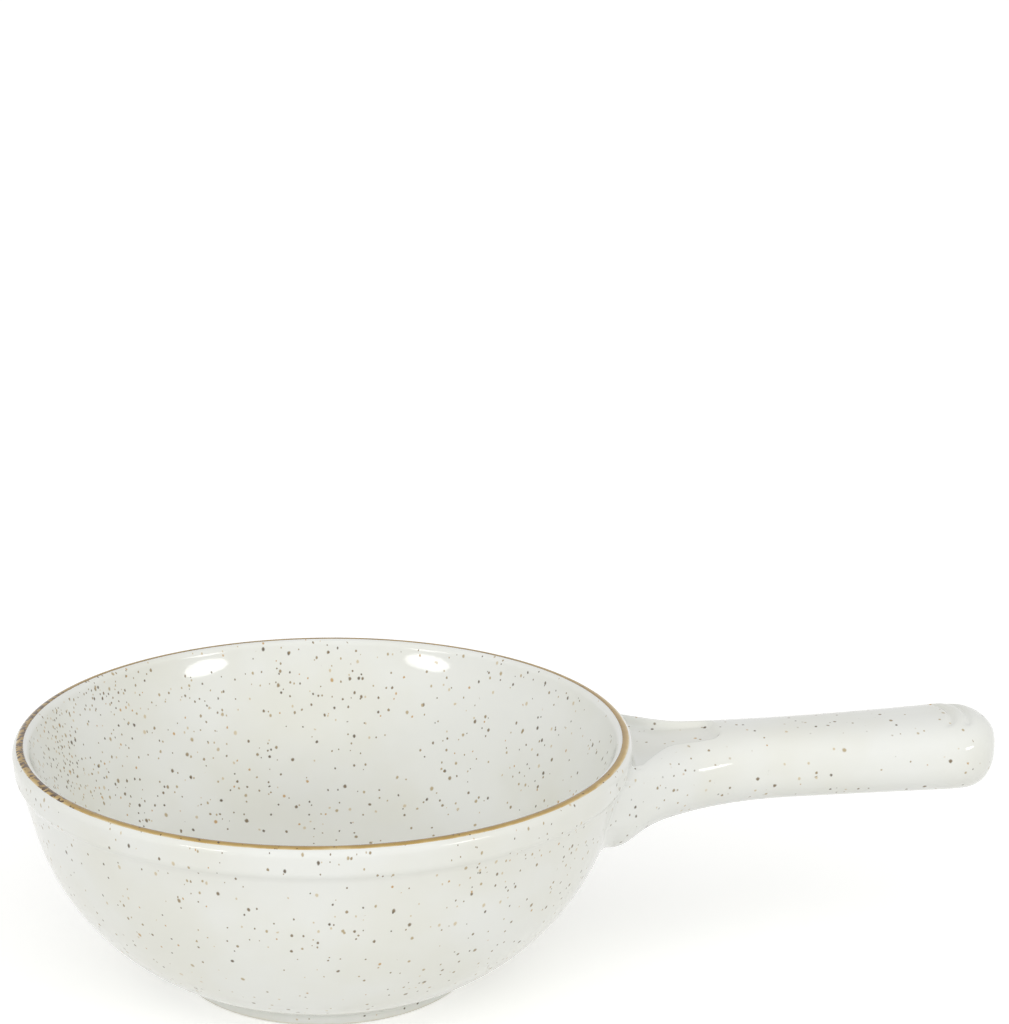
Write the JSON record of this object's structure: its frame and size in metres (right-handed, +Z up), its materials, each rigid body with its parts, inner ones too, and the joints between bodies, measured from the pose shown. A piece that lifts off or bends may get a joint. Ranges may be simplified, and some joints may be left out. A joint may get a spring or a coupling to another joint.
{
  "type": "handled serving pan",
  "caption": "Round glazed stoneware serving bowl on a low foot ring, with a collared amber lip and one thick horizontal handle with a well and thumb steps.",
  "frame": {"origin": "on the bowl's axis, on the plane that the foot ring stands on", "axes": "+Z up along the bowl's axis, +X along the handle"},
  "size_m": [0.2303, 0.14, 0.0568],
  "materials": {
    "speckled_glaze": "glossy warm white glaze with fine brown specks",
    "handle_glaze": "glossy warm white glaze with fine brown specks",
    "fired_slip": "bare fired clay, matt",
    "amber_glaze": "glossy amber band, hand painted"
  },
  "bodies": {
    "root": {"bowl": "speckled_glaze", "handle": "handle_glaze", "luting_slip": "fired_slip", "rim_band": "amber_glaze"}
  },
  "joints": []
}
